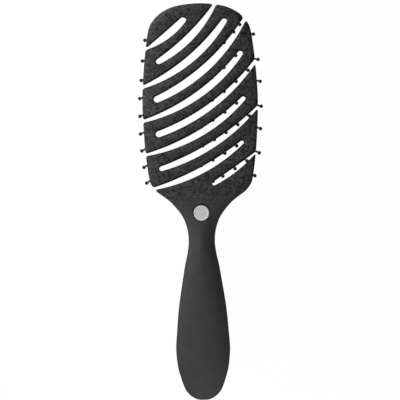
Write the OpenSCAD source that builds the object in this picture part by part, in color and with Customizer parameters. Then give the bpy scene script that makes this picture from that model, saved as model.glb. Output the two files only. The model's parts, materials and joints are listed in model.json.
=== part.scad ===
// Detangling brush with a vented head that flexes at its bends.
// It lies pins down: X runs across it, Y from the handle to the crown, Z up.
// The origin is on the floor under the middle of its length.

/* [Overall] */
// Length from the crown to the end of the handle
brush_len = 235; // [228:1:244]
// Length of the head from the crown to the narrowest point of the neck
head_len = 140.5; // [136:0.5:146]
// Greatest width of the head
head_w = 68.5; // [64:0.5:74]

/* [Head] */
// Thickness of the head's strips
head_t = 5; // [4.4:0.1:6]
// Gap where a slot runs on through the bend between two strips
bend_gap = 0.3; // [0.2:0.05:0.5]

/* [Pins] */
// Height of the head's underside above the pin tips
pin_reach = 17; // [15:0.5:19]
// Diameter of a pin at its root
pin_root_d = 1.5; // [1.3:0.1:1.7]
// Diameter of a pin just above its ball
pin_tip_d = 1.0; // [0.8:0.1:1.2]
// Diameter of the ball tip
ball_d = 2.2; // [1.8:0.1:2.6]
// Diameter of the head that holds a pin at its root
pin_head_d = 2.6; // [2.3:0.1:2.8]
// Height of that head
pin_head_h = 0.9; // [0.7:0.1:1.2]
// Depth of that head below the brush's back, which closes over it
pin_sink = 1.0; // [0.9:0.05:1.1]
// Clearance round a pin in its hole
pin_fit = 0.05; // [0.02:0.01:0.08]
// Outward lean of a pin at the edge of the widest part, in degrees
pin_lean = 12.5; // [9:0.5:15]
// Tilt of a pin at the crown away from the handle, in degrees
pin_tilt = 5; // [0:0.5:7]

/* [Handle] */
// Greatest width of the handle's bulb
bulb_w = 32; // [29:0.5:35]
// Greatest thickness of the bulb, which rests on the floor
bulb_t = 20; // [18:0.5:21]
// Width of the neck at its narrowest point
neck_w = 15.5; // [14:0.5:18]
// Thickness of the neck at its narrowest point
neck_t = 13; // [12:0.5:14.5]
// Wall of the two hollow handle halves
wall = 2.2; // [1.8:0.1:2.6]
// Diameter of the posts inside the handle
post_d = 6; // [5:0.5:7]
// Diameter of the pegs that join the halves
peg_d = 3; // [2.6:0.1:3.4]
// Length of the pegs
peg_len = 3; // [2:0.5:3.5]
// Clearance round a peg in its socket
peg_fit = 0.1; // [0.05:0.05:0.2]

/* [Badge] */
// Diameter of the disc let into the neck
badge_d = 9.6; // [8:0.2:10.4]
// Thickness of the disc
badge_t = 1.2; // [1:0.1:1.6]
// Gap round the disc in its recess
badge_fit = 0.4; // [0.2:0.05:0.6]
// Distance from the neck's narrowest point to the disc's centre
badge_setback = 16; // [14:0.5:18]

/* [Hidden] */

// Distance that a cutting tool runs past what it cuts
overrun = 1;
// Width of the seam where the back half closes over the end of the front half
seam = 0.3;
// Distance from the edge of a strip's lower slot to the middle of its pins, at the left end of
// each row and everywhere else
left_pin_insets = [2.0, 2.4, 2.2, 2.1, 2.5, 2.0, 2.8, 3.3, 4.2, 2.0];
pin_inset = 1.9;
// The same below the last two slots, where the head runs on into the neck
neck_pin_inset = 4.8;
last_pin_inset = 5;
// Place along the head where the pins stand upright
upright_share = 0.5;
// Distance along the last slot from its closed end to the cut that frees its strip
root_cut_step = 2.8;
// Height of the disc's bevel, and its proud height over the neck
badge_bevel = 0.25;
badge_proud = 0.1;

// Fineness: points between two stations, points round half a section, round parts
line_steps = 3;
arc_steps = 13;
disc_steps = 720;
$fn = 40;

back_z = pin_reach + head_t;
handle_len = brush_len - head_len;
tail_y = -brush_len / 2;
neck_y = tail_y + handle_len;

// Outline and section, from the end of the handle to the crown, as shares.
// Bulb: place along the handle, size against the bulb
bulb_shares = [
    [0, 0.08], [0.02, 0.42], [0.06, 0.647], [0.10, 0.753],
    [0.14, 0.831], [0.21, 0.94], [0.32, 1],
];
// Grip: place along the handle, size from the neck (0) to the bulb (1)
grip_shares = [
    [0.43, 0.921], [0.55, 0.806], [0.66, 0.636], [0.77, 0.43],
    [0.85, 0.273], [0.925, 0.085], [1, 0],
];
// Flare: place along the head, width and thickness from the neck (0) to the head (1)
flare_shares = [
    [0.051, 0.034, 0.12], [0.102, 0.14, 0.35], [0.152, 0.349, 0.62], [0.178, 0.509, 0.75],
    [0.203, 0.689, 0.86], [0.228, 0.80, 0.95], [0.253, 0.857, 1],
];
// Head: place along the head, width against the head's greatest width
head_shares = [
    [0.33, 0.937], [0.431, 0.975], [0.591, 1], [0.735, 0.966], [0.836, 0.92], [0.883, 0.889],
    [0.911, 0.848], [0.938, 0.768], [0.965, 0.637], [0.989, 0.40], [1, 0],
];
// Roundness of the back and of the belly: 2 is an ellipse, more is boxier, less has a ridge
bulb_round = 2.2;
neck_ridge = 1.75;
head_round = 5;
// Rows of the outline at which things start or end, counted from the end of the handle
hollow_start_row = 2;
hollow_end_row = 11;
front_end_row = 12;
root_end_row = 22;

// Slots from the crown to the neck. Each has its open end, its middle and the centre of its
// round closed end, as shares: place across half the head, then low and high edge along the head
slot_shares = [
    [[-0.905, 0.806, 0.817], [-0.613, 0.839, 0.8765], [-0.283, 0.908, 0.947]],
    [[0.175, 0.938, 0.974], [-0.263, 0.813, 0.858], [-0.709, 0.742, 0.770]],
    [[-0.964, 0.642, 0.657], [-0.263, 0.725, 0.765], [0.432, 0.902, 0.944]],
    [[0.730, 0.891, 0.925], [0.000, 0.684, 0.728], [-0.745, 0.580, 0.611]],
    [[-0.978, 0.497, 0.510], [-0.088, 0.585, 0.621], [0.704, 0.766, 0.804]],
    [[0.964, 0.742, 0.764], [0.088, 0.531, 0.564], [-0.721, 0.434, 0.462]],
    [[-0.949, 0.355, 0.366], [-0.088, 0.423, 0.455], [0.747, 0.580, 0.608]],
    [[0.978, 0.548, 0.561], [0.088, 0.368, 0.399], [-0.677, 0.291, 0.313]],
    [[-0.818, 0.212, 0.223], [0.000, 0.276, 0.307], [0.715, 0.398, 0.419]],
    [[0.920, 0.355, 0.364], [0.584, 0.281, 0.306], [0.225, 0.227, 0.247]],
];
// Pin rows on the strips, as shares of half the head: first and last root of the evenly spaced
// ones, how many they are, and the roots beyond them that stand closer
pin_row_shares = [
    [-0.842, -0.270, 4, []], [-0.882, 0.044, 6, []], [-0.905, 0.365, 8, []],
    [-0.930, 0.374, 8, [0.523, 0.616]], [-0.930, 0.736, 10, [0.825]], [-0.925, 0.735, 10, [0.890]],
    [-0.908, 0.919, 11, []], [-0.878, 0.930, 11, []], [-0.733, 0.914, 10, [-0.838]], [0.331, 0.892, 4, []],
];
// The same for the two rows on the lower end of the head
neck_row_shares = [-0.368, 0.178, 4, []];
last_row_shares = [0.368, 0.82, 4, []];
// Places of the joining posts along the handle
post_shares = [0.12, 0.42, 0.68];

soft_black = "#38393a";
pin_black = "#2b2c2d";
silver = "#a4a6a3";

function mix(a, b, t) = a + (b - a) * t;

// One station of the body: [place along Y, half width, top Z, thickness, back and belly roundness]
function bulb_station(s) =
    [tail_y + s[0] * handle_len, s[1] * bulb_w / 2, bulb_t * (1 + s[1]) / 2, s[1] * bulb_t,
     bulb_round, bulb_round];
function grip_station(s) =
    [tail_y + s[0] * handle_len, mix(neck_w, bulb_w, s[1]) / 2, mix(back_z, bulb_t, s[1]),
     mix(neck_t, bulb_t, s[1]), mix(neck_ridge, bulb_round, s[1]), bulb_round];
function flare_station(s) =
    [neck_y + s[0] * head_len, mix(neck_w, head_w, s[1]) / 2, back_z,
     mix(neck_t, head_t, s[2]), mix(neck_ridge, head_round, s[1]), mix(bulb_round, head_round, s[1])];
function head_station(s) =
    [neck_y + s[0] * head_len, s[1] * head_w / 2, back_z, head_t, head_round, head_round];

rows = [
    each [for (s = bulb_shares) bulb_station(s)],
    each [for (s = grip_shares) grip_station(s)],
    each [for (s = flare_shares) flare_station(s)],
    each [for (s = head_shares) head_station(s)],
];
last_row = len(rows) - 1;

// The line runs on over each end as its own mirror image, so that both ends are round
function row_at(k) =
    k < 0 ? bulb_station([bulb_shares[1][0], -bulb_shares[1][1]]) :
    k > last_row ?
        let (s = head_shares[len(head_shares) - 2])
        head_station([s[0], -s[1]]) :
    rows[k];
function through(p, q, r, s, t) =
    (2 * q + (r - p) * t + (2 * p - 5 * q + 4 * r - s) * t * t + (3 * q - p - 3 * r + s) * t * t * t) / 2;
body_line = [
    for (k = [0:last_row - 1], i = [0:line_steps - 1])
        through(row_at(k - 1), row_at(k), row_at(k + 1), row_at(k + 2), i / line_steps),
    rows[last_row],
];
function line_value(y, column) = lookup(y, [for (s = body_line) [s[0], s[column]]]);

// Circle through three points, as [centre X, centre Y, radius]
function circle_centre(a, b, c) =
    let (
        d = 2 * ((b - a)[0] * (c - a)[1] - (b - a)[1] * (c - a)[0]),
        u = (b - a) * (b - a),
        v = (c - a) * (c - a)
    )
    [a[0] + ((c - a)[1] * u - (b - a)[1] * v) / d, a[1] + ((b - a)[0] * v - (c - a)[0] * u) / d];
function circle_through(p) =
    let (m = circle_centre(p[0], p[1], p[2]))
    [m[0], m[1], norm(p[0] - m)];
function on_circle(c, r, turn) = [c[0] + r * sin(turn), c[1] - r * cos(turn)];
function turn_at(c, r, x) = asin((x - c[0]) / r);

// Low edge, high edge and middle line of each slot, all arcs
function plan(station, low_weight) =
    [station[0] * head_w / 2,
     neck_y + mix(station[2], station[1], low_weight) * head_len];
low_edge = [for (s = slot_shares) circle_through([for (p = s) plan(p, 1)])];
high_edge = [for (s = slot_shares) circle_through([for (p = s) plan(p, 0)])];
mid_line = [for (s = slot_shares) circle_through([for (p = s) plan(p, 0.5)])];
closed_end = [for (s = slot_shares) plan(s[2], 0.5)];
closed_on_right = [for (s = slot_shares) s[2][0] > s[0][0]];
// Direction from the middle line's centre to the closed end, and the radius of that end
function end_turn(k) = atan2(closed_end[k][1] - mid_line[k][1], closed_end[k][0] - mid_line[k][0]);
function end_radius(k) =
    (slot_shares[k][2][2] - slot_shares[k][2][1]) * head_len / 2 * -sin(end_turn(k));

last_slot = len(slot_shares) - 1;

// Solids that cut

module disc(c, grow) {
    translate([c[0], c[1], -overrun])
        cylinder(r = c[2] + grow, h = back_z + 2 * overrun, $fn = disc_steps);
}

// Everything to one side of the line across slot k, a step away from its closed end
module side(k, step, to_right) {
    translate([closed_end[k][0], closed_end[k][1], -overrun])
        rotate(end_turn(k))
            translate([-head_len, to_right ? step : step - head_len, 0])
                cube([2 * head_len, head_len, back_z + 2 * overrun]);
}

module slot_cut(k) {
    difference() {
        disc(low_edge[k], 0);
        disc(high_edge[k], 0);
        side(k, 0, closed_on_right[k]);
    }
    translate([closed_end[k][0], closed_end[k][1], -overrun])
        cylinder(r = end_radius(k), h = back_z + 2 * overrun);
}

// Pins: each has its root on the back and its ball on the floor

// Places of a row's roots across the head
function row_places(s) = [for (i = [0:s[2] - 1]) mix(s[0], s[1], i / (s[2] - 1)), each s[3]];
// Roots of a row along a slot's edge, whose distance from it changes over the first few pins
function row_points(edge, start, inset, s) =
    [
        for (place = row_places(s))
            let (r = edge[2] + mix(inset, start, pow(1 - (place - s[0]) / (s[1] - s[0]), 3)))
            on_circle(edge, r, turn_at(edge, r, place * head_w / 2)),
    ];

strip_rows = [
    for (k = [0:last_slot])
        row_points(high_edge[k], -left_pin_insets[k], -pin_inset, pin_row_shares[k]),
];
neck_rows = [
    each row_points(low_edge[last_slot - 1], neck_pin_inset, neck_pin_inset, neck_row_shares),
    each row_points(low_edge[last_slot], last_pin_inset, last_pin_inset, last_row_shares),
];

function lean_at(p) = pin_lean * p[0] / (head_w / 2);
function tilt_at(p) = pin_tilt * ((p[1] - neck_y) / head_len - upright_share) / (1 - upright_share);

module at_root(p) {
    translate([p[0], p[1], back_z])
        rotate([tilt_at(p), -lean_at(p), 0])
            children();
}

module pin(p) {
    ball_depth = (back_z - ball_d / 2) / cos(lean_at(p)) / cos(tilt_at(p));
    at_root(p) {
        translate([0, 0, -pin_sink - pin_head_h])
            cylinder(d = pin_head_d, h = pin_head_h);
        translate([0, 0, -ball_depth])
            cylinder(d1 = pin_tip_d, d2 = pin_root_d, h = ball_depth - pin_sink - pin_head_h / 2);
        translate([0, 0, -ball_depth])
            sphere(d = ball_d);
    }
}

module pin_hole(p) {
    at_root(p) {
        translate([0, 0, -pin_sink - pin_head_h])
            cylinder(d = pin_head_d + 2 * pin_fit, h = pin_head_h + pin_fit);
        translate([0, 0, -head_t - 2 * overrun])
            cylinder(d = pin_root_d + 2 * pin_fit, h = head_t + 2 * overrun - pin_sink - pin_head_h / 2);
    }
}

module pins(points) {
    color(pin_black)
        for (p = points) pin(p);
}

// Strips of the head: number k lies between slots k - 1 and k

module head_plate() {
    translate([0, 0, pin_reach])
        linear_extrude(head_t)
            polygon([
                for (s = body_line)
                    if (s[0] > neck_y) [s[1], s[0]],
                for (i = [len(body_line) - 2:-1:0])
                    let (s = body_line[i])
                    if (s[0] > neck_y) [-s[1], s[0]],
            ]);
}

module rib(k) {
    color(soft_black)
        difference() {
            intersection() {
                head_plate();
                disc(mid_line[k], -bend_gap / 2);
            }
            if (k > 0) {
                disc(mid_line[k - 1], bend_gap / 2);
                slot_cut(k - 1);
            }
            slot_cut(k);
            if (k == last_slot) side(k, root_cut_step + bend_gap / 2, false);
            for (p = strip_rows[k]) pin_hole(p);
        }
}

// Handle: a skin over rings of points, from stations that each say how they are filled.
// Filled is 1 over the hollow, 0 with a flat parting face, -1 where the piece is whole

function section_x(turn, roundness) = sign(cos(turn)) * pow(abs(cos(turn)), 2 / roundness);
function section_z(turn, roundness) = pow(abs(sin(turn)), 2 / roundness);

function ring(s, filled, way) =
    let (
        half_t = s[3] / 2,
        mid_z = s[2] - half_t,
        outer = way > 0 ? s[4] : s[5],
        inner_w = max(s[1] - wall, s[1] / 2),
        inner_t = max(half_t - wall, half_t / 2)
    )
    [
        for (i = [0:arc_steps])
            let (turn = 180 * i / arc_steps)
            [way * s[1] * section_x(turn, outer), s[0], mid_z + way * half_t * section_z(turn, outer)],
        for (i = [arc_steps - 1:-1:1])
            let (
                turn = 180 * i / arc_steps,
                inner_turn = 180 * (i - 1) / (arc_steps - 2)
            )
            filled < 0 ?
                [s[1] * section_x(turn, s[5]), s[0], mid_z - half_t * section_z(turn, s[5])] :
                [way * inner_w * cos(inner_turn), s[0], mid_z + filled * way * inner_t * sin(inner_turn)],
    ];

// Triangles over an end ring, each between its outer and its inner points
function turned(face, back) = back ? [face[2], face[1], face[0]] : face;
function end_faces(base, n, back) = [
    turned([base, base + 1, base + n - 1], back),
    for (i = [1:n / 2 - 2]) turned([base + i, base + i + 1, base + n - i - 1], back),
    for (i = [1:n / 2 - 2]) turned([base + i, base + n - i - 1, base + n - i], back),
    turned([base + n / 2 - 1, base + n / 2, base + n / 2 + 1], back),
];

module skin(rings) {
    n = len(rings[0]);
    count = len(rings);
    polyhedron(
        points = [for (r = rings, p = r) p],
        faces = [
            each end_faces(0, n, true),
            each end_faces((count - 1) * n, n, false),
            for (k = [0:count - 2], j = [0:n - 1])
                [k * n + j, k * n + (j + 1) % n, (k + 1) * n + (j + 1) % n],
            for (k = [0:count - 2], j = [0:n - 1])
                [k * n + j, (k + 1) * n + (j + 1) % n, (k + 1) * n + j],
        ]
    );
}

function hollow_at(i) = i > hollow_start_row * line_steps && i < hollow_end_row * line_steps ? 1 : 0;
front_end = front_end_row * line_steps;
function stepped(s, step) = [s[0] + step, s[1], s[2], s[3], s[4], s[5]];

module post_at(share) {
    y = tail_y + share * handle_len;
    translate([0, y, line_value(y, 2) - line_value(y, 3) / 2])
        children();
}
function post_height(share) = line_value(tail_y + share * handle_len, 3) / 2 - wall / 2;

module handle_back() {
    color(soft_black)
        difference() {
            union() {
                skin([
                    for (i = [0:front_end]) ring(body_line[i], hollow_at(i), 1),
                    ring(stepped(body_line[front_end], seam), -1, 1),
                    for (i = [front_end + 1:root_end_row * line_steps]) ring(body_line[i], -1, 1),
                ]);
                for (share = post_shares)
                    post_at(share) cylinder(d = post_d, h = post_height(share));
            }
            for (share = post_shares)
                post_at(share)
                    translate([0, 0, -overrun])
                        cylinder(d = peg_d + 2 * peg_fit, h = peg_len + peg_fit + overrun);
            disc(mid_line[last_slot - 1], bend_gap / 2);
            slot_cut(last_slot - 1);
            slot_cut(last_slot);
            intersection() {
                disc(mid_line[last_slot], bend_gap / 2);
                side(last_slot, root_cut_step - bend_gap / 2, true);
            }
            for (p = neck_rows) pin_hole(p);
            translate([0, neck_y + badge_setback, back_z + badge_proud - badge_t])
                cylinder(d = badge_d + 2 * badge_fit, h = badge_t + overrun);
        }
}

module handle_front() {
    color(soft_black) {
        skin([for (i = [0:front_end]) ring(body_line[i], hollow_at(i), -1)]);
        for (share = post_shares)
            post_at(share) {
                translate([0, 0, -post_height(share)])
                    cylinder(d = post_d, h = post_height(share));
                translate([0, 0, -wall])
                    cylinder(d = peg_d, h = peg_len + wall);
            }
    }
}

module badge() {
    color(silver)
        translate([0, neck_y + badge_setback, back_z + badge_proud - badge_t]) {
            cylinder(d = badge_d, h = badge_t - badge_bevel);
            translate([0, 0, badge_t - badge_bevel])
                cylinder(d1 = badge_d, d2 = badge_d - 2 * badge_bevel, h = badge_bevel);
        }
}

handle_back();
handle_front();
badge();
rib(0);  // rib_01
rib(1);  // rib_02
rib(2);  // rib_03
rib(3);  // rib_04
rib(4);  // rib_05
rib(5);  // rib_06
rib(6);  // rib_07
rib(7);  // rib_08
rib(8);  // rib_09
rib(9);  // rib_10
pins(strip_rows[0]);  // pin_row_01
pins(strip_rows[1]);  // pin_row_02
pins(strip_rows[2]);  // pin_row_03
pins(strip_rows[3]);  // pin_row_04
pins(strip_rows[4]);  // pin_row_05
pins(strip_rows[5]);  // pin_row_06
pins(strip_rows[6]);  // pin_row_07
pins(strip_rows[7]);  // pin_row_08
pins(strip_rows[8]);  // pin_row_09
pins(strip_rows[9]);  // pin_row_10
pins(neck_rows);  // pin_row_neck
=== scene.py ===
"""Dresses the detangling brush: a soft-touch moulding with a slotted, flexing head, its pins and a badge."""

import json
import math

import bmesh
import bpy
from mathutils import Matrix, Vector

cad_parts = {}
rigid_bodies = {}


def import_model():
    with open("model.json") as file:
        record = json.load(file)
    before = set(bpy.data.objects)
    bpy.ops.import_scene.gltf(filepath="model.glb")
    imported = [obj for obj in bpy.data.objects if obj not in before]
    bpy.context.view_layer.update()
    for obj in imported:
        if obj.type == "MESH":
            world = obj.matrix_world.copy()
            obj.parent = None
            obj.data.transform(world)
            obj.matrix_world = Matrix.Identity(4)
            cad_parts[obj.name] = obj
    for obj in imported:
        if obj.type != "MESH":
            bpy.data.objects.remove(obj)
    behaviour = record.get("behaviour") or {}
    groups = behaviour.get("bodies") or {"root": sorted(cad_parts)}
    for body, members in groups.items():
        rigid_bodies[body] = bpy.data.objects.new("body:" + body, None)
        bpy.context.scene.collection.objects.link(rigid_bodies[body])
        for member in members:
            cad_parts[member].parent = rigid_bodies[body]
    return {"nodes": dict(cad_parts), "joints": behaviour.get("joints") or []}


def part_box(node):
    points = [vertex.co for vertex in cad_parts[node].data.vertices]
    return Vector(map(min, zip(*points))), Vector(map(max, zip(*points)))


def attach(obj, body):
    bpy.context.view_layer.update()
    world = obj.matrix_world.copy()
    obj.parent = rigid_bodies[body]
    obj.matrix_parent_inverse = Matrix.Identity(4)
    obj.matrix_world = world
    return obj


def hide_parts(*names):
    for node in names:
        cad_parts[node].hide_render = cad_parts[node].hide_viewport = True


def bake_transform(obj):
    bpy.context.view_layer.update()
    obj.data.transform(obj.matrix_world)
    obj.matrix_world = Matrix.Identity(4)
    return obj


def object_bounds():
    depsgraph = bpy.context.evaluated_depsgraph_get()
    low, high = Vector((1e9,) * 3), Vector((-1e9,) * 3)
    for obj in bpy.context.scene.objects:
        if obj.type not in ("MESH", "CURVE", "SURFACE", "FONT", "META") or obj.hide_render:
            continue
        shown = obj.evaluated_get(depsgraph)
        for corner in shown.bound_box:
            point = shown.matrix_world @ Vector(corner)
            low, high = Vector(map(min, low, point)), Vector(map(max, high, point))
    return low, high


bl_info = {
    "name": "Detangling brush",
    "version": (1, 0, 0),
    "blender": (4, 5, 0),
    "location": "View3D > Sidebar > Brush",
    "description": "Builds a vented detangling brush with a flexing head, its finishes and its stage",
    "category": "Object",
}

MM = 0.001
for startup in list(bpy.data.objects):
    bpy.data.objects.remove(startup)

# The frame, and the boxes from which the driving sizes come
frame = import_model()
CAD_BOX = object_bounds()
BULB_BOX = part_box("handle_front")
STRIP_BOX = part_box("rib_05")
BADGE_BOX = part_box("badge")

# Outline and section of the body as shares, from the end of the handle to the crown.
# Bulb: place along the handle, size against the bulb
BULB_SHARES = [
    (0, 0.08), (0.02, 0.42), (0.06, 0.647), (0.10, 0.753), (0.14, 0.831), (0.21, 0.94), (0.32, 1),
]
# Grip: place along the handle, size from the neck to the bulb
GRIP_SHARES = [
    (0.43, 0.921), (0.55, 0.806), (0.66, 0.636), (0.77, 0.43), (0.85, 0.273), (0.925, 0.085), (1, 0),
]
# Flare: place along the head, width and thickness from the neck to the head
FLARE_SHARES = [
    (0.051, 0.034, 0.12), (0.102, 0.14, 0.35), (0.152, 0.349, 0.62), (0.178, 0.509, 0.75),
    (0.203, 0.689, 0.86), (0.228, 0.80, 0.95), (0.253, 0.857, 1),
]
# Head: place along the head, width against the greatest width
HEAD_SHARES = [
    (0.33, 0.937), (0.431, 0.975), (0.591, 1), (0.735, 0.966), (0.836, 0.92), (0.883, 0.889),
    (0.911, 0.848), (0.938, 0.768), (0.965, 0.637), (0.989, 0.40), (1, 0),
]
# Slots from the crown to the neck, each with its open end, middle and round closed end:
# place across half the head, then low and high edge along the head
SLOT_SHARES = [
    ((-0.905, 0.806, 0.817), (-0.613, 0.839, 0.8765), (-0.283, 0.908, 0.947)),
    ((0.175, 0.938, 0.974), (-0.263, 0.813, 0.858), (-0.709, 0.742, 0.770)),
    ((-0.964, 0.642, 0.657), (-0.263, 0.725, 0.765), (0.432, 0.902, 0.944)),
    ((0.730, 0.891, 0.925), (0.000, 0.684, 0.728), (-0.745, 0.580, 0.611)),
    ((-0.978, 0.497, 0.510), (-0.088, 0.585, 0.621), (0.704, 0.766, 0.804)),
    ((0.964, 0.742, 0.764), (0.088, 0.531, 0.564), (-0.721, 0.434, 0.462)),
    ((-0.949, 0.355, 0.366), (-0.088, 0.423, 0.455), (0.747, 0.580, 0.608)),
    ((0.978, 0.548, 0.561), (0.088, 0.368, 0.399), (-0.677, 0.291, 0.313)),
    ((-0.818, 0.212, 0.223), (0.000, 0.276, 0.307), (0.715, 0.398, 0.419)),
    ((0.920, 0.355, 0.364), (0.584, 0.281, 0.306), (0.225, 0.227, 0.247)),
]
LAST_BEND = len(SLOT_SHARES)

# Roundness of a section: 2 gives an ellipse, and a high value a flat face with round corners
HANDLE_ROUNDNESS = 2.2
NECK_BACK_ROUNDNESS = 1.75
HEAD_BACK_ROUNDNESS = 12
HEAD_BELLY_ROUNDNESS = 5
# Steps between two rows of the body, and round half a section
ROW_STEPS = 6
ARC_STEPS = 26
# Half the length over which the outline's slope is taken, and guards against a division by nothing
SLOPE_STEP = 0.2 * MM
LEAST_GAP = 1e-9
LEAST_WIDTH = 1e-6
# Points closer than this are one
WELD = 1e-7

# Crown: the length over which its edge closes, then the shoulder that slopes down to it: how far down
# the head it reaches, over what length it sets in, its width, what it takes off the back's height, and
# the power of its curve
CROWN_ROUND = 2.5 * MM
SHOULDER_REACH = 22 * MM
SHOULDER_ONSET = 10 * MM
SHOULDER_WIDTH = 3.4 * MM
SHOULDER_FALL = 0.5
SHOULDER_CURVE = 1.2

# Front cover: the row of the body where it ends, the seam there, and the length, drop and size of the
# tongue that closes the seam
FRONT_END_ROW = 12
SEAM = 0.3 * MM
TONGUE_LENGTH = 0.6 * MM
TONGUE_DROP = 0.3 * MM
TONGUE_SHARE = 0.9

# Slots: the step along them, the finer one near the rim, how deep inside the rim that one and the wider
# mouth start, how far the cutter runs past the rim, half its least width, and steps round its closed end
SLOT_STEP = 1.1 * MM
RIM_STEP = 0.2 * MM
RIM_ZONE = 3 * MM
MOUTH_ZONE = 5 * MM
PAST_RIM = 3.5 * MM
LEAST_HALF_SLOT = 0.4 * MM
END_STEPS = 8
# Mouth: how often the guess at its spread is halved, and the least spread that counts
HALVINGS = 9
LEAST_SPREAD = 0.01 * MM
# Cutter's side: the angle at which its rounding meets the surface, the steps on it, how near it comes to
# the body's middle, and the flare and overrun beyond the surface
CROSSING = math.radians(68)
EDGE_STEPS = 5
EDGE_CORE = 1.3 * MM
FLARE = 0.7 * MM
OVERRUN = 3 * MM

# Bends: the greatest share of a slot's radius that one takes, how far they reach past the rim, and how far
# from them the mesh is parted
BEND_SHARE = 0.8
BEND_OVERRUN = 6 * MM
LAST_BEND_OVERRUN = 1 * MM
BEND_CLEARANCE = 8 * MM

# Badge: its recess, and the play and the offset that it has there
RECESS_GAP = 0.4 * MM
RECESS_DRAFT = 0.2 * MM
RECESS_DEPTH = 3 * MM
RECESS_SEGMENTS = 64
BADGE_PLAY = 0.2 * MM
BADGE_OFFSET = 0.3 * MM
BADGE_STEPS = 72
# Badge's rim, lip and groove: how far inside its edge and under its top, then how far its middle is sunk
BADGE_RIM = [(0, 0.3 * MM), (0.1 * MM, 0.08 * MM), (0.3 * MM, 0), (0.7 * MM, 0), (0.85 * MM, 0.1 * MM)]
BADGE_SINK = 0.06 * MM

# Soft touch: where along the brush the head's stronger painted shade on its sideways faces, its pebbles and
# the crown's lighter shoulder, where that painted shade eases, fade in
HEAD_FADE = (1 * MM, 14 * MM)
PEBBLE_FADE = (-9 * MM, 7 * MM)
CROWN_FADE = (93 * MM, 103 * MM)

# Stage: where the camera aims in plan, its sensor in millimetres, half the floor's size, and what the
# floor shows of a shadow
AIM = (-0.744 * MM, 0.42 * MM)
SENSOR = 36
FLOOR_HALF = 3
FLOOR_SHADOW = 0.025
# Lamps: place, where along the brush they aim, and diameter
LAMPS = [
    ("head_lamp", (-0.13, 0.07, 0.08), 0.05, 0.12),
    ("handle_lamp", (-0.12, -0.24, 0.22), -0.08, 0.20),
    ("crown_lamp", (-0.17, 0.34, 0.065), 0.08, 0.15),
    ("fill_lamp", (0.10, -0.22, 0.12), -0.08, 0.15),
]


def mix(a, b, t):
    """The value at a share t of the way from a to b."""
    return a + (b - a) * t


class BrushSizes(bpy.types.PropertyGroup):
    """Sizes of the moulding."""

    length: bpy.props.FloatProperty(
        name="Length", description="From the crown to the end of the handle",
        default=CAD_BOX[1].y - CAD_BOX[0].y, unit="LENGTH")
    head_length: bpy.props.FloatProperty(
        name="Head length", description="From the crown to the narrowest point of the neck",
        default=140.5 * MM, unit="LENGTH")
    head_width: bpy.props.FloatProperty(
        name="Head width", description="Greatest width of the head", default=68.5 * MM, unit="LENGTH")
    back: bpy.props.FloatProperty(
        name="Back height", description="Height of the back of the head over the floor",
        default=STRIP_BOX[1].z, unit="LENGTH")
    head_thickness: bpy.props.FloatProperty(
        name="Head thickness", description="Thickness of the strips",
        default=STRIP_BOX[1].z - STRIP_BOX[0].z, unit="LENGTH")
    bulb_width: bpy.props.FloatProperty(
        name="Bulb width", description="Greatest width of the handle's bulb",
        default=BULB_BOX[1].x - BULB_BOX[0].x, unit="LENGTH")
    bulb_thickness: bpy.props.FloatProperty(
        name="Bulb thickness", description="Greatest thickness of the bulb", default=20 * MM, unit="LENGTH")
    neck_width: bpy.props.FloatProperty(
        name="Neck width", description="Width of the neck at its narrowest point",
        default=15.5 * MM, unit="LENGTH")
    neck_thickness: bpy.props.FloatProperty(
        name="Neck thickness", description="Thickness of the neck at its narrowest point",
        default=13 * MM, unit="LENGTH")
    edge_round: bpy.props.FloatProperty(
        name="Edge rounding", description="Radius of the rounded edges along the slots on the back",
        default=1.3 * MM, unit="LENGTH")
    under_round: bpy.props.FloatProperty(
        name="Under edge rounding", description="Radius of the rounded edges along the slots underneath",
        default=0.4 * MM, unit="LENGTH")
    mouth_round: bpy.props.FloatProperty(
        name="Mouth rounding", description="Radius of the corners where a slot opens at the rim",
        default=1.3 * MM, unit="LENGTH")
    bend_half: bpy.props.FloatProperty(
        name="Bend half length", description="Length of the bending plastic on each side of a hinge line",
        default=1.6 * MM, unit="LENGTH")


class BrushFinish(bpy.types.PropertyGroup):
    """Colours and gloss."""

    soft_dark: bpy.props.FloatVectorProperty(
        name="Soft touch, dark", description="Darker shade of the soft-touch plastic", subtype="COLOR",
        size=3, default=(0.012, 0.0125, 0.0125), min=0, max=1)
    soft_light: bpy.props.FloatVectorProperty(
        name="Soft touch, light", description="Lighter shade of the soft-touch plastic", subtype="COLOR",
        size=3, default=(0.064, 0.067, 0.065), min=0, max=1)
    soft_rough: bpy.props.FloatProperty(
        name="Soft touch roughness", description="Roughness of the soft-touch plastic",
        default=0.62, min=0, max=1, subtype="FACTOR")
    pin_colour: bpy.props.FloatVectorProperty(
        name="Pins", description="Colour of the nylon pins", subtype="COLOR", size=3,
        default=(0.012, 0.012, 0.013), min=0, max=1)
    metal: bpy.props.FloatVectorProperty(
        name="Badge", description="Colour of the badge's metal", subtype="COLOR", size=3,
        default=(0.42, 0.425, 0.415), min=0, max=1)


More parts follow.
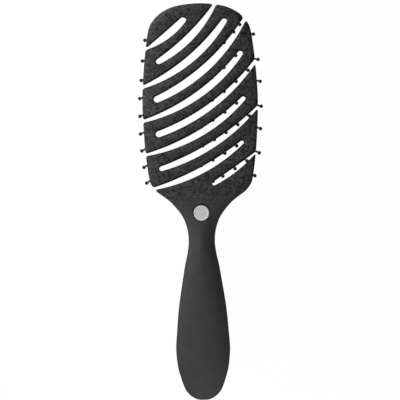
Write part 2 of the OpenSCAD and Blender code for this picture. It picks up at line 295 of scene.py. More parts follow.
class BrushStage(bpy.types.PropertyGroup):
    """Camera and lamps."""

    azimuth: bpy.props.FloatProperty(
        name="Azimuth", description="Turn of the camera about the vertical from straight above the handle",
        default=math.radians(0.6), subtype="ANGLE")
    elevation: bpy.props.FloatProperty(
        name="Elevation", description="Height of the camera over the horizon",
        default=math.radians(86.7), subtype="ANGLE")
    roll: bpy.props.FloatProperty(
        name="Roll", description="Turn of the picture", default=math.radians(0.7), subtype="ANGLE")
    frame_width: bpy.props.FloatProperty(
        name="Frame width", description="Width of the picture at the brush's back",
        default=236.62 * MM, unit="LENGTH")
    distance: bpy.props.FloatProperty(
        name="Camera distance", description="From the camera to the brush's back",
        default=3.2, unit="LENGTH")
    floor_depth: bpy.props.FloatProperty(
        name="Floor depth", description="How far the floor lies under the brush, clear of the head bent down",
        default=35 * MM, unit="LENGTH")
    head_lamp: bpy.props.FloatProperty(
        name="Head lamp", description="Power of the lamp close to the left of the head", default=0.295,
        unit="POWER")
    handle_lamp: bpy.props.FloatProperty(
        name="Handle lamp", description="Power of the lamp over the left of the handle", default=0.48,
        unit="POWER")
    crown_lamp: bpy.props.FloatProperty(
        name="Crown lamp", description="Power of the low lamp beyond the crown", default=1.25, unit="POWER")
    fill_lamp: bpy.props.FloatProperty(
        name="Fill lamp", description="Power of the weak lamp at the right of the handle", default=0.19,
        unit="POWER")
    sky: bpy.props.FloatProperty(
        name="Surrounding light", description="Strength of the light from straight above", default=0.06,
        min=0)
    horizon: bpy.props.FloatProperty(
        name="Horizon light", description="Strength of the light from the horizon", default=0.06, min=0)


# Shape of the body


class Section:
    """One cross-section of the body."""

    def __init__(self, values):
        self.y, self.half_width, self.top, thickness, self.back, self.belly = values
        self.half = thickness / 2
        self.middle = self.top - self.half

    def values(self):
        """What it takes to make the section again."""
        return self.y, self.half_width, self.middle + self.half, 2 * self.half, self.back, self.belly


def body_rows(sizes):
    """Rows of the body: place, half width, top, thickness, roundness of back and belly."""
    tail = -sizes.length / 2
    handle = sizes.length - sizes.head_length
    neck = tail + handle
    rows = []
    for place, size in BULB_SHARES:
        rows.append([tail + place * handle, size * sizes.bulb_width / 2,
                     sizes.bulb_thickness * (1 + size) / 2, size * sizes.bulb_thickness,
                     HANDLE_ROUNDNESS, HANDLE_ROUNDNESS])
    for place, size in GRIP_SHARES:
        rows.append([tail + place * handle, mix(sizes.neck_width, sizes.bulb_width, size) / 2,
                     mix(sizes.back, sizes.bulb_thickness, size),
                     mix(sizes.neck_thickness, sizes.bulb_thickness, size),
                     mix(NECK_BACK_ROUNDNESS, HANDLE_ROUNDNESS, size), HANDLE_ROUNDNESS])
    for place, width, thick in FLARE_SHARES:
        rows.append([neck + place * sizes.head_length, mix(sizes.neck_width, sizes.head_width, width) / 2,
                     sizes.back, mix(sizes.neck_thickness, sizes.head_thickness, thick),
                     mix(NECK_BACK_ROUNDNESS, HEAD_BACK_ROUNDNESS, width),
                     mix(HANDLE_ROUNDNESS, HEAD_BELLY_ROUNDNESS, width)])
    for place, width in HEAD_SHARES:
        rows.append([neck + place * sizes.head_length, width * sizes.head_width / 2,
                     sizes.back, sizes.head_thickness, HEAD_BACK_ROUNDNESS, HEAD_BELLY_ROUNDNESS])
    return rows


def through(p, q, r, s, t):
    """Values on the smooth curve from q to r, with p before and s after them."""
    return [
        (2 * b + (c - a) * t + (2 * a - 5 * b + 4 * c - d) * t * t + (3 * b - a - 3 * c + d) * t**3) / 2
        for a, b, c, d in zip(p, q, r, s)
    ]


class Body:
    """Sections of the whole brush, from the end of the handle to the crown."""

    def __init__(self, sizes):
        self.sizes = sizes
        self.neck = sizes.length / 2 - sizes.head_length
        rows = body_rows(sizes)
        first = list(rows[1])
        first[1], first[3] = -first[1], -first[3]
        last = list(rows[-2])
        last[1] = -last[1]
        line = [first, *rows, last]
        self.sections = [
            self.closed(Section(through(*line[k:k + 4], i / ROW_STEPS)))
            for k in range(len(rows) - 1) for i in range(ROW_STEPS)
        ]
        self.sections.append(self.closed(Section(rows[-1])))

    def closed(self, section):
        """The section with the crown's edge rounded off."""
        share = min(max(1 - (self.sizes.length / 2 - section.y) / CROWN_ROUND, 0), 1)
        section.half *= math.sqrt(1 - share * share)
        return section

    def at(self, y):
        """The section at a place along the brush."""
        cuts = self.sections
        y = min(max(y, cuts[0].y), cuts[-1].y)
        k = next(i for i in range(1, len(cuts)) if cuts[i].y >= y)
        before, after = cuts[k - 1], cuts[k]
        t = (y - before.y) / max(after.y - before.y, LEAST_GAP)
        return Section([mix(a, b, t) for a, b in zip(before.values(), after.values())])

    def height(self, x, y, way):
        """Height of the back (way 1) or the underside (way -1) over a point in plan."""
        section = self.at(y)
        roundness = section.back if way > 0 else section.belly
        share = min(abs(x) / max(section.half_width, LEAST_WIDTH), 1)
        rise = section.half * (1 - share**roundness) ** (1 / roundness)
        return section.middle + (rise * self.shoulder(x, y) if way > 0 else -rise)

    def shoulder(self, x, y):
        """Share of the back's height that is left where it slopes down towards the crown's edge."""
        start = min(max((y - self.sizes.length / 2 + SHOULDER_REACH) / SHOULDER_ONSET, 0), 1)
        if start == 0:
            return 1
        edge = min(max(1 - self.depth(x, y) / SHOULDER_WIDTH, 0), 1)
        return 1 - SHOULDER_FALL * edge**SHOULDER_CURVE * start * start * (3 - 2 * start)

    def depth(self, x, y):
        """How far inside the outline a point lies in plan."""
        slope = (self.at(y + SLOPE_STEP).half_width - self.at(y - SLOPE_STEP).half_width) / (2 * SLOPE_STEP)
        beyond = max(y - self.sections[-1].y, 0)
        return (self.at(y).half_width - abs(x)) / math.sqrt(1 + slope * slope) - beyond


def ring(body, section, part="whole", y=None):
    """Points round a section, flat on the parting line where the part is one half."""
    points = []
    for i in range(2 * ARC_STEPS):
        turn = math.pi * i / ARC_STEPS
        across, up = math.cos(turn), math.sin(turn)
        if i == ARC_STEPS:
            across, up = -1, 0
        roundness = section.back if up >= 0 else section.belly
        x = math.copysign(abs(across) ** (2 / roundness), across) * section.half_width
        z = math.copysign(abs(up) ** (2 / roundness), up) * section.half
        if up > 0:
            z *= body.shoulder(x, section.y)
        if (part == "back" and up < 0) or (part == "front" and up > 0):
            z = 0
        points.append(Vector((x, section.y if y is None else y, section.middle + z)))
    return points


def loft(bm, rings):
    """Closed skin through rings that each have the same number of points."""
    verts = bmesh.ops.create_circle(bm, cap_ends=True, segments=len(rings[0]), radius=1)["verts"]
    for vert, point in zip(verts, rings[0]):
        vert.co = point
    edges = list({e for v in verts for e in v.link_edges})
    for points in rings[1:]:
        made = bmesh.ops.extrude_edge_only(bm, edges=edges)["geom"]
        fresh = {g for g in made if isinstance(g, bmesh.types.BMVert)}
        edges = [g for g in made if isinstance(g, bmesh.types.BMEdge) and fresh.issuperset(g.verts)]
        verts = [next(e.other_vert(v) for e in v.link_edges if e.other_vert(v) in fresh) for v in verts]
        for vert, point in zip(verts, points):
            vert.co = point
    bmesh.ops.contextual_create(bm, geom=edges)
    bmesh.ops.remove_doubles(bm, verts=bm.verts, dist=WELD)
    bmesh.ops.recalc_face_normals(bm, faces=bm.faces)


def piece(name, bm, material=None, crease=35):
    """A new object from a mesh, with smooth surfaces and crisp edges."""
    mesh = bpy.data.meshes.new(name)
    bm.to_mesh(mesh)
    bm.free()
    mesh.polygons.foreach_set("use_smooth", [True] * len(mesh.polygons))
    mesh.set_sharp_from_angle(angle=math.radians(crease))
    obj = bpy.data.objects.new(name, mesh)
    bpy.context.scene.collection.objects.link(obj)
    if material:
        mesh.materials.append(material)
    return obj


# Slots


class Circle:
    """A circle in plan through three points."""

    def __init__(self, a, b, c):
        p, q = b - a, c - a
        d = 2 * (p.x * q.y - p.y * q.x)
        u, v = p.dot(p), q.dot(q)
        self.centre = a + Vector((q.y * u - p.y * v, p.x * v - q.x * u)) / d
        self.radius = (a - self.centre).length

    def nearest(self, point):
        """The point of the circle that is nearest to another point."""
        return self.centre + (point - self.centre).normalized() * self.radius

    def at(self, turn):
        """The point at an angle from the circle's lowest point."""
        return self.centre + Vector((math.sin(turn), -math.cos(turn))) * self.radius

    def turn(self, x):
        """The angle of the point at x on the circle's lower half."""
        return math.asin((x - self.centre.x) / self.radius)


class Slot:
    """A curved slot that runs from the rim to a round closed end."""

    def __init__(self, body, places):
        sizes = body.sizes
        self.body = body

        def plan(place, weight):
            along = mix(place[2], place[1], weight)
            return Vector((place[0] * sizes.head_width / 2, body.neck + along * sizes.head_length))

        self.low = Circle(*[plan(p, 1) for p in places])
        self.high = Circle(*[plan(p, 0) for p in places])
        self.middle = Circle(*[plan(p, 0.5) for p in places])
        self.end = plan(places[2], 0.5)
        self.to_right = places[2][0] > places[0][0]
        out = (self.end - self.middle.centre).normalized()
        self.radius = (places[2][2] - places[2][1]) * sizes.head_length / 2 * -out.y
        # Along the slot at its closed end, away from the mouth
        self.along = Vector((-out.y, out.x)) * (1 if self.to_right else -1)

    def mouth_spread(self, place, way):
        """How far the slot opens out at the rim, so that its corner is round and meets the rim smoothly."""
        mouth = self.body.sizes.mouth_round
        low, high = 0, mouth
        for _ in range(HALVINGS):
            spread = (low + high) / 2
            short = min(max(mouth - self.body.depth(*(place + way * spread)), 0), mouth)
            if spread < mouth - math.sqrt(max(mouth * mouth - short * short, 0)):
                low = spread
            else:
                high = spread
        return high if high > LEAST_SPREAD else 0

    def columns(self):
        """Across the slot from beyond its mouth to its tip: low and high point, each with its outward way."""
        found = []
        last = self.middle.turn(self.end.x)
        step = (-1 if self.to_right else 1) / self.middle.radius
        turn = last
        while True:
            point = self.middle.at(turn)
            depth = self.body.depth(*point)
            row = []
            out = (point - self.middle.centre).normalized()
            for edge, way in ((self.low, out), (self.high, -out)):
                place = point + way * max((edge.nearest(point) - point).dot(way), LEAST_HALF_SLOT)
                spread = self.mouth_spread(place, way) if depth < MOUTH_ZONE else 0
                row.append((place + way * spread, way))
            found.append(row)
            if depth < -PAST_RIM:
                break
            turn += step * (RIM_STEP if depth < RIM_ZONE else SLOT_STEP)
        found.reverse()
        low, high = found[-1][0][0], found[-1][1][0]
        for i in range(1, END_STEPS + 1):
            angle = math.pi / 2 * i / END_STEPS
            row = []
            for place in (low, high):
                side = place - self.end
                way = (side.normalized() * math.cos(angle) + self.along * math.sin(angle)).normalized()
                row.append((self.end + way * mix(side.length, self.radius, math.sin(angle)), way))
            found.append(row)
        return found


def rounded_side(body, place, way, top_radius, under_radius):
    """Points down one side of a slot's cutter: flared over the back and under the belly like a router bit."""
    points = []
    for surface, radius in ((1, top_radius), (-1, under_radius)):
        level = body.height(place.x, place.y, surface)
        least = body.at(place.y).middle + surface * EDGE_CORE
        level = max(level, least) if surface > 0 else min(level, least)
        run = []
        for i in range(EDGE_STEPS + 1):
            angle = CROSSING * (1 - i / EDGE_STEPS)
            run.append((radius * (1 - math.cos(angle)),
                        level - surface * radius * (math.sin(CROSSING) - math.sin(angle))))
        spread = (run[0][0] + FLARE * math.sin(CROSSING), level + surface * FLARE * math.cos(CROSSING))
        run = [(spread[0], spread[1] + surface * OVERRUN), spread, *run]
        points += run if surface > 0 else reversed(run)
    return [Vector((*(place + way * offset), z)) for offset, z in points]


def slot_cutter(bm, slot):
    """Adds the solid that cuts a slot."""
    sizes = slot.body.sizes
    part = bmesh.new()
    rings = []
    for low, high in slot.columns():
        down = rounded_side(slot.body, *low, sizes.edge_round, sizes.under_round)
        up = rounded_side(slot.body, *high, sizes.edge_round, sizes.under_round)
        rings.append(down + list(reversed(up)))
    loft(part, rings)
    add_mesh(bm, part)


def add_mesh(bm, part):
    """Moves one mesh into another."""
    mesh = bpy.data.meshes.new("part")
    part.to_mesh(mesh)
    part.free()
    bm.from_mesh(mesh)
    bpy.data.meshes.remove(mesh)


def carve(obj, cutter):
    """Cuts one object's mesh with another, which is used up."""
    modifier = obj.modifiers.new("Cut", "BOOLEAN")
    modifier.operation = "DIFFERENCE"
    modifier.solver = "EXACT"
    modifier.object = cutter
    bpy.context.view_layer.update()
    shaped = obj.evaluated_get(bpy.context.evaluated_depsgraph_get())
    mesh = bpy.data.meshes.new_from_object(shaped)
    obj.modifiers.remove(modifier)
    old = obj.data
    obj.data = mesh
    bpy.data.meshes.remove(old)
    bpy.data.objects.remove(cutter)


# Bends


class Bend:
    """The place where a slot's two sides stay joined: its frame in plan and the bodies on either side."""

    def __init__(self, number, slot, sizes):
        joint = next(j for j in frame["joints"] if j["name"] == f"bend_{number:02d}")
        self.number = number
        self.parent, self.child = joint["parent"], joint["child"]
        self.hinge = Vector(joint["pos_m"][:2])
        self.height = joint["pos_m"][2]
        self.half = min(sizes.bend_half, BEND_SHARE * slot.radius)
        self.start = slot.end
        if number == LAST_BEND:
            # The last strip is cut across itself, a step inside its slot
            self.start = slot.end - slot.along * (self.hinge - slot.end).dot(-slot.along)
        self.out = (self.hinge - self.start).normalized()
        reach = (self.hinge - self.start).length
        self.reach = 2 * reach + (LAST_BEND_OVERRUN if number == LAST_BEND else BEND_OVERRUN)
        side = Vector((-self.out.y, self.out.x))
        if number == LAST_BEND:
            upper = -slot.along
        else:
            upper = slot.high.nearest(slot.end) - slot.low.nearest(slot.end)
        self.across = side if side.dot(upper) > 0 else -side

    def place(self, point):
        """Along the hinge line from the slot, and across it, of a point in plan."""
        offset = Vector(point[:2]) - self.start
        return offset.dot(self.out), offset.dot(self.across)

    def holds(self, point):
        """Whether the bend takes what lies over a point in plan."""
        along, across = self.place(point)
        return 0 < along < self.reach and abs(across) < self.half

    def planes(self):
        """The three upright planes that bound it, as point and normal."""
        return [
            (self.start + self.across * self.half, self.across),
            (self.start - self.across * self.half, self.across),
            (self.start, self.out),
        ]


def near(face, centre, radius):
    """Whether a face's box comes within a radius of a point in plan."""
    xs = [v.co.x for v in face.verts]
    ys = [v.co.y for v in face.verts]
    dx = max(min(xs) - centre.x, centre.x - max(xs), 0)
    dy = max(min(ys) - centre.y, centre.y - max(ys), 0)
    return dx * dx + dy * dy < radius * radius


def only_faces(bm, keep):
    """A copy of a mesh with only the faces at some places in its list, its open ends closed."""
    part = bm.copy()
    part.faces.ensure_lookup_table()
    drop = [f for f in part.faces if f.index not in keep]
    bmesh.ops.delete(part, geom=drop, context="FACES")
    close_ends(part)
    return part


def close_ends(bm):
    """Fills the open ends where a part was cut off."""
    bmesh.ops.holes_fill(bm, edges=[e for e in bm.edges if e.is_boundary], sides=0)


def islands(bm):
    """Lists of faces that hang together."""
    left = set(bm.faces)
    found = []
    while left:
        stack = [left.pop()]
        group = []
        while stack:
            face = stack.pop()
            group.append(face)
            for edge in face.edges:
                for other in edge.link_faces:
                    if other in left:
                        left.remove(other)
                        stack.append(other)
        found.append(group)
    return found


def box_gap(faces, low, high):
    """How far the box round some faces is from another box."""
    points = [v.co for f in faces for v in f.verts]
    gap = 0
    for axis in (0, 1):
        values = [p[axis] for p in points]
        gap += abs(min(values) - low[axis]) + abs(max(values) - high[axis])
    return gap


# Finishes


class Link:
    """A value in a material, on which Python's operators add Math nodes."""

    def __init__(self, shader, socket):
        self.shader = shader
        self.socket = socket

    def _math(self, operation, first, second):
        return self.shader.add("ShaderNodeMath", {"operation": operation}, {0: first, 1: second})

    def __add__(self, other):
        return self._math("ADD", self, other)

    def __sub__(self, other):
        return self._math("SUBTRACT", self, other)

    def __mul__(self, other):
        return self._math("MULTIPLY", self, other)


class Shader:
    """The nodes of a material or of a world."""

    def __init__(self, name, library="materials"):
        self.material = getattr(bpy.data, library).new(name)
        self.material.use_nodes = True
        self.tree = self.material.node_tree
        self.tree.nodes.clear()

    def add(self, kind, settings=None, values=None, out=0):
        """A node of a type, with its settings made first and then its sockets set or linked."""
        node = self.tree.nodes.new(kind)
        for key, value in (settings or {}).items():
            if key == "stops":
                ramp = node.color_ramp
                while len(ramp.elements) < len(value):
                    ramp.elements.new(0.5)
                for element, (position, shade) in zip(ramp.elements, value):
                    element.position = position
                    element.color = (shade, shade, shade, 1) if isinstance(shade, float) else (*shade, 1)
            else:
                setattr(node, key, value)
        for key, value in (values or {}).items():
            if isinstance(value, Link):
                self.tree.links.new(value.socket, node.inputs[key])
            else:
                node.inputs[key].default_value = value
        return Link(self, node.outputs[out]) if len(node.outputs) else None

    def axis(self, kind, number):
        """One axis of a kind of texture coordinates."""
        where = self.add("ShaderNodeTexCoord", out=kind)
        return self.add("ShaderNodeSeparateXYZ", None, {"Vector": where}, out=number)

    def smooth(self, value, low, high):
        """0 up to one value and 1 from another, with a smooth step between them."""
        return self.add("ShaderNodeMapRange", {"interpolation_type": "SMOOTHSTEP"},
                        {"Value": value, "From Min": low, "From Max": high})

    def plain_view(self):
        """1 for what the camera sees directly, by reflection or through something clear, and 0 for light."""
        camera = self.add("ShaderNodeLightPath", out="Is Camera Ray")
        glossy = self.add("ShaderNodeLightPath", out="Is Glossy Ray")
        clear = self.add("ShaderNodeLightPath", out="Is Transmission Ray")
        return self.add("ShaderNodeMath", {"operation": "ADD", "use_clamp": True},
                        {0: camera + glossy, 1: clear})

    def noise(self, scale, detail=2.0, roughness=0.5, stretch=None):
        """Noise from 0 to 1, stretched along an axis where a scale for each is given."""
        where = self.add("ShaderNodeTexCoord", out="Object")
        if stretch:
            where = self.add("ShaderNodeMapping", None, {"Vector": where, "Scale": stretch})
        return self.add("ShaderNodeTexNoise", None,
                        {"Vector": where, "Scale": scale, "Detail": detail, "Roughness": roughness})

    def ramp(self, value, stops):
        """Shades by value, each stop a position and a shade."""
        return self.add("ShaderNodeValToRGB", {"stops": stops}, {"Fac": value})

    def blend(self, share, first, second):
        """Mixes two colours, by the node's sockets for colours."""
        return self.add("ShaderNodeMix", {"data_type": "RGBA"}, {0: share, 6: first, 7: second}, out=2)

    def finish(self, **inputs):
        """Ends the material with a surface whose sockets are named with underscores for spaces."""
        values = {key.replace("_", " "): value for key, value in inputs.items()}
        surface = self.add("ShaderNodeBsdfPrincipled", None, values)
        self.add("ShaderNodeOutputMaterial", None, {"Surface": surface})
        return self.material


def rgba(colour):
    """A colour with full opacity."""
    return (*colour, 1)


def made(name, build):
    """The material of a name, built once."""
    return bpy.data.materials.get(name) or build(name)


def soft_touch(name):
    """Soft-touch black, pebbled on the head and plainer along the handle, with painted shade on the sides and
    slot walls that don't look up.
    """
    finish = bpy.context.scene.brush_finish
    shader = Shader(name)
    along = shader.axis("Object", 1)
    head = shader.smooth(along, *HEAD_FADE)
    pebbled = shader.smooth(along, *PEBBLE_FADE)
    crown = shader.smooth(along, *CROWN_FADE)
    # Painted shade: faces that don't look up enough take a dark colour in place of shade, and faces that look
    # up keep the plastic's colour: the head's flat back, more of the handle's round sides, and the crown's
    # shoulder, which slopes
    clear_of_painted_shade = shader.smooth(shader.axis("Normal", 2), head * 0.56 + 0.20 - crown * 0.26,
                           head * 0.415 + 0.58 - crown * 0.12)
    # The mottle is strong where the surface is pebbled, and soft clouds and a fine grain lie over all
    cloud = shader.noise(160, detail=3.0)
    mottle = shader.noise(700, detail=3.0, roughness=0.6)
    grain = shader.noise(2600, detail=2.0)
    tone = (mottle - 0.5) * (pebbled * 1.9 + 0.12) + (cloud - 0.5) * 0.25 + (grain - 0.5) * 0.15
    tone = tone + 0.64 - pebbled * 0.14
    share = shader.ramp(tone, [(0.15, 0.0), (0.85, 1.0)])
    colour = shader.blend(share, rgba(finish.soft_dark), rgba(finish.soft_light))
    # The painted shade is half the pins' colour, laid on the faces that look sideways or down
    colour = shader.blend(clear_of_painted_shade, rgba([c * 0.5 for c in finish.pin_colour]), colour)
    rough = mottle * 0.12 + (finish.soft_rough - 0.06)
    relief = grain * 0.25 + mottle * (pebbled * 1.2 + 0.15)
    bump = shader.add("ShaderNodeBump", None, {"Strength": 0.35, "Distance": 0.2 * MM, "Height": relief})
    return shader.finish(Base_Color=colour, Roughness=rough, Specular_IOR_Level=0.02, Normal=bump)


def pin_nylon(name):
    """Smooth black nylon."""
    finish = bpy.context.scene.brush_finish
    shader = Shader(name)
    cloud = shader.noise(900, detail=2.0)
    dark = rgba([c * 0.5 for c in finish.pin_colour])
    light = rgba([c * 0.8 for c in finish.pin_colour])
    colour = shader.blend(cloud, dark, light)
    return shader.finish(Base_Color=colour, Roughness=cloud * 0.1 + 0.42, Specular_IOR_Level=0.012)


def satin_metal(name):
    """Satin silver, lightly brushed across."""
    finish = bpy.context.scene.brush_finish
    shader = Shader(name)
    brushed = shader.noise(600, detail=3.0, stretch=(1, 14, 1))
    colour = shader.blend(brushed, rgba([c * 0.86 for c in finish.metal]), rgba(finish.metal))
    bump = shader.add("ShaderNodeBump", None, {"Strength": 0.08, "Distance": 0.1 * MM, "Height": brushed})
    return shader.finish(Base_Color=colour, Metallic=0.85, Roughness=brushed * 0.12 + 0.5, Normal=bump)


# Operators


class BRUSH_OT_moulding(bpy.types.Operator):
    """Lofts the handle's back and the whole head, and cuts the slots and the badge's recess"""

    bl_idname = "brush.moulding"
    bl_label = "Moulding"

    def execute(self, context):
        sizes = context.scene.brush_sizes
        body = Body(sizes)
        front_end = FRONT_END_ROW * ROW_STEPS
        bm = bmesh.new()
        rings = [ring(body, s, "back") for s in body.sections[:front_end + 1]]
        rings.append(ring(body, body.sections[front_end], y=body.sections[front_end].y + SEAM))
        rings += [ring(body, s) for s in body.sections[front_end + 1:]]
        loft(bm, rings)
        moulding = piece("moulding", bm)
        cuts = bmesh.new()
        for places in SLOT_SHARES:
            slot_cutter(cuts, Slot(body, places))
        low, high = BADGE_BOX
        mouth = (high.x - low.x) / 2 + RECESS_GAP
        recess = bmesh.new()
        bmesh.ops.create_cone(recess, cap_ends=True, segments=RECESS_SEGMENTS, radius1=mouth,
                              radius2=mouth + RECESS_DRAFT, depth=RECESS_DEPTH)
        middle = ((low.x + high.x) / 2, (low.y + high.y) / 2, low.z + RECESS_DEPTH / 2)
        bmesh.ops.translate(recess, verts=recess.verts, vec=middle)
        add_mesh(cuts, recess)
        carve(moulding, piece("cutters", cuts))
        return {"FINISHED"}


class BRUSH_OT_bends(bpy.types.Operator):
    """Parts the short bends from the moulding, each a piece of its own between its two strips"""

    bl_idname = "brush.bends"
    bl_label = "Bends"

    def execute(self, context):
        sizes = context.scene.brush_sizes
        body = Body(sizes)
        moulding = bpy.data.objects["moulding"]
        bm = bmesh.new()
        bm.from_mesh(moulding.data)
        bends = [Bend(k + 1, Slot(body, places), sizes) for k, places in enumerate(SLOT_SHARES)]
        for bend in bends:
            reach = (bend.hinge - bend.start).length + BEND_CLEARANCE
            for point, normal in bend.planes():
                faces = [f for f in bm.faces if near(f, bend.hinge, reach)]
                edges = {e for f in faces for e in f.edges}
                verts = {v for f in faces for v in f.verts}
                bmesh.ops.bisect_plane(bm, geom=[*verts, *edges, *faces], dist=WELD,
                                       plane_co=(point.x, point.y, 0), plane_no=(normal.x, normal.y, 0))
        bm.faces.index_update()
        taken = set()
        for bend in bends:
            mine = {f.index for f in bm.faces if bend.holds(f.calc_center_median())}
            taken |= mine
            part = piece(f"bend_{bend.number:02d}_web", only_faces(bm, mine), made("soft_touch", soft_touch))
            ends = [bend.hinge + bend.across * bend.half * way for way in (-1, 1)]
            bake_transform(part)
        bm.faces.ensure_lookup_table()
        bmesh.ops.delete(bm, geom=[bm.faces[i] for i in taken], context="FACES")
        bm.to_mesh(moulding.data)
        bm.free()
        return {"FINISHED"}


class BRUSH_OT_strips(bpy.types.Operator):
    """Makes each strip and the handle's back a piece of its own from what is left of the moulding"""

    bl_idname = "brush.strips"
    bl_label = "Strips and handle back"

    def execute(self, context):
        moulding = bpy.data.objects["moulding"]
        bm = bmesh.new()
        bm.from_mesh(moulding.data)
        bm.faces.index_update()
        groups = islands(bm)
        wanted = {"handle_back": "handle"}
        wanted.update({f"rib_{k:02d}": f"strip_{k:02d}" for k in range(1, LAST_BEND + 1)})
        if len(groups) != len(wanted):
            raise RuntimeError(f"the moulding came apart in {len(groups)} pieces, not {len(wanted)}")
        for node, owner in wanted.items():
            low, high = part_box(node)
            group = min(groups, key=lambda faces: box_gap(faces, low, high))
            groups.remove(group)
            name = "handle_back_shell" if owner == "handle" else owner + "_skin"
            part = piece(name, only_faces(bm, {f.index for f in group}), made("soft_touch", soft_touch))
            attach(part, owner)
            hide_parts(node)
        bm.free()
        bpy.data.objects.remove(moulding)
        return {"FINISHED"}


class BRUSH_OT_front_cover(bpy.types.Operator):
    """Lofts the cover on the handle's pin side"""

    bl_idname = "brush.front_cover"
    bl_label = "Front cover"

    def execute(self, context):
        body = Body(context.scene.brush_sizes)
        front_end = FRONT_END_ROW * ROW_STEPS
        rings = [ring(body, s, "front") for s in body.sections[:front_end + 1]]
        # The tongue reaches across the seam into the moulding
        centre = Vector((0, body.sections[front_end].y, body.sections[front_end].middle))
        tuck = Vector((0, TONGUE_LENGTH, -TONGUE_DROP))
        rings.append([centre + (point - centre) * TONGUE_SHARE + tuck for point in rings[-1]])
        bm = bmesh.new()
        loft(bm, rings)
        part = piece("handle_front_shell", bm, made("soft_touch", soft_touch))
        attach(part, "handle")
        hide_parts("handle_front")
        return {"FINISHED"}


class BRUSH_OT_badge(bpy.types.Operator):
    """Turns the plain metal disc that is let into the neck"""

    bl_idname = "brush.badge"
    bl_label = "Badge"

    def execute(self, context):
        low, high = BADGE_BOX
        radius = (high.x - low.x) / 2 - BADGE_PLAY
        top = high.z - low.z
        bm = bmesh.new()
        rim = [(radius - inside, top - under) for inside, under in BADGE_RIM]
        profile = [(0, 0), (radius, 0), *rim, (0, top - BADGE_SINK)]
        verts = [bm.verts.new((x, 0, z)) for x, z in profile]
        edges = [bm.edges.new(pair) for pair in zip(verts, verts[1:])]
        bmesh.ops.spin(bm, geom=[*verts, *edges], axis=(0, 0, 1), cent=(0, 0, 0), angle=math.tau,
                       steps=BADGE_STEPS, use_merge=True)
        bmesh.ops.remove_doubles(bm, verts=bm.verts, dist=WELD)
        bmesh.ops.recalc_face_normals(bm, faces=bm.faces)
        # It sits a little towards the handle in its recess
        seat = ((low.x + high.x) / 2, (low.y + high.y) / 2 - BADGE_OFFSET, low.z)
        bmesh.ops.translate(bm, verts=bm.verts, vec=seat)
        part = piece("badge_disc", bm, made("satin_metal", satin_metal), crease=20)
        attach(part, "handle")
        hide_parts("badge")
        return {"FINISHED"}


class BRUSH_OT_pins(bpy.types.Operator):
    """Gives the rows of pins their finish"""

    bl_idname = "brush.pins"
    bl_label = "Pins"

    def execute(self, context):
        nylon = made("pin_nylon", pin_nylon)
        for name, node in frame["nodes"].items():
            if name.startswith("pin_row"):
                for slot in node.material_slots:
                    slot.material = nylon
        return {"FINISHED"}


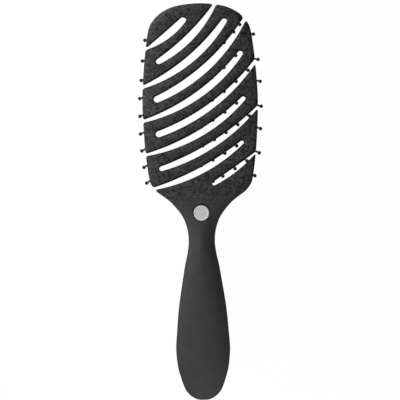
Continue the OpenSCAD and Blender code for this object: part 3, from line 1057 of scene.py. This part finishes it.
class BRUSH_OT_stage(bpy.types.Operator):
    """Sets the floor, the lamps, the surrounding light and the camera"""

    bl_idname = "brush.stage"
    bl_label = "Stage"

    def execute(self, context):
        settings = context.scene.brush_stage
        sizes = context.scene.brush_sizes
        self.floor(settings)
        self.surroundings(settings)
        for name, place, aim, size in LAMPS:
            self.lamp(name, place, (0, aim, sizes.back), size, getattr(settings, name))
        self.camera(settings, sizes)
        context.scene.view_settings.view_transform = "Standard"
        return {"FINISHED"}

    def floor(self, settings):
        """A floor that looks white and keeps a little of the brush's shadow."""
        bm = bmesh.new()
        bmesh.ops.create_grid(bm, x_segments=1, y_segments=1, size=FLOOR_HALF)
        bmesh.ops.translate(bm, verts=bm.verts, vec=(0, 0, -settings.floor_depth))
        shader = Shader("floor_white")
        matt = shader.add("ShaderNodeBsdfDiffuse", None, {"Color": (0.75, 0.75, 0.75, 1)})
        white = shader.add("ShaderNodeEmission", None, {"Color": (1, 1, 1, 1), "Strength": 1.0})
        share = shader.plain_view() * (1 - FLOOR_SHADOW)
        surface = shader.add("ShaderNodeMixShader", None, {0: share, 1: matt, 2: white})
        shader.add("ShaderNodeOutputMaterial", None, {"Surface": surface})
        piece("floor", bm, shader.material)

    def surroundings(self, settings):
        """Soft light from above that falls off towards the horizon, and a plain white view of it."""
        shader = Shader("surroundings", "worlds")
        level = shader.add("ShaderNodeMapRange", None,
                           {"Value": shader.axis("Generated", 2), "To Min": settings.horizon,
                            "To Max": settings.sky})
        light = shader.add("ShaderNodeBackground", None, {"Color": (1, 1, 1, 1), "Strength": level})
        white = shader.add("ShaderNodeBackground", None, {"Color": (1, 1, 1, 1), "Strength": 1.0})
        both = shader.add("ShaderNodeMixShader", None, {0: shader.plain_view(), 1: light, 2: white})
        shader.add("ShaderNodeOutputWorld", None, {"Surface": both})
        bpy.context.scene.world = shader.material

    def lamp(self, name, place, aim, size, power):
        """A round soft lamp that the camera doesn't see."""
        light = bpy.data.lights.new(name, "AREA")
        light.shape = "DISK"
        light.size = size
        light.energy = power
        obj = bpy.data.objects.new(name, light)
        obj.location = place
        obj.rotation_euler = (Vector(aim) - Vector(place)).to_track_quat("-Z", "Y").to_euler()
        obj.visible_camera = False
        bpy.context.scene.collection.objects.link(obj)

    def camera(self, settings, sizes):
        """A long lens almost straight above the brush's back."""
        up = Vector((0, math.sin(settings.elevation), math.cos(settings.elevation)))
        towards = Vector((math.tan(settings.azimuth), -up.z, up.y)).normalized()
        right = up.cross(towards).normalized()
        up = towards.cross(right)
        c, s = math.cos(settings.roll), math.sin(settings.roll)
        side, top = right * c - up * s, up * c + right * s
        aim = Vector((*AIM, sizes.back))
        place = aim + towards * settings.distance
        data = bpy.data.cameras.new("camera")
        data.sensor_fit = "HORIZONTAL"
        data.sensor_width = SENSOR
        data.lens = SENSOR * settings.distance / settings.frame_width
        obj = bpy.data.objects.new("camera", data)
        turned = Matrix((side, top, towards)).transposed().to_4x4()
        obj.matrix_world = Matrix.Translation(place) @ turned
        bpy.context.scene.collection.objects.link(obj)
        bpy.context.scene.camera = obj


class BRUSH_PT_panel(bpy.types.Panel):
    """Lists the brush's pieces and its stage"""

    bl_idname = "BRUSH_PT_panel"
    bl_label = "Detangling brush"
    bl_space_type = "VIEW_3D"
    bl_region_type = "UI"
    bl_category = "Brush"

    def draw(self, context):
        for group in (context.scene.brush_sizes, context.scene.brush_finish, context.scene.brush_stage):
            column = self.layout.column()
            for name in group.__annotations__:
                column.prop(group, name)
        for operator in OPERATORS:
            self.layout.operator(operator.bl_idname)


GROUPS = {"brush_sizes": BrushSizes, "brush_finish": BrushFinish, "brush_stage": BrushStage}
OPERATORS = (
    BRUSH_OT_moulding, BRUSH_OT_bends, BRUSH_OT_strips, BRUSH_OT_front_cover, BRUSH_OT_badge,
    BRUSH_OT_pins, BRUSH_OT_stage,
)


def register():
    for name, group in GROUPS.items():
        bpy.utils.register_class(group)
        setattr(bpy.types.Scene, name, bpy.props.PointerProperty(type=group))
    for operator in OPERATORS:
        bpy.utils.register_class(operator)
    bpy.utils.register_class(BRUSH_PT_panel)


def unregister():
    bpy.utils.unregister_class(BRUSH_PT_panel)
    for operator in reversed(OPERATORS):
        bpy.utils.unregister_class(operator)
    for name, group in GROUPS.items():
        delattr(bpy.types.Scene, name)
        bpy.utils.unregister_class(group)


def main():
    register()
    for operator in OPERATORS:
        group, name = operator.bl_idname.split(".")
        getattr(getattr(bpy.ops, group), name)()
    bpy.context.view_layer.update()


if __name__ == "__main__":
    main()
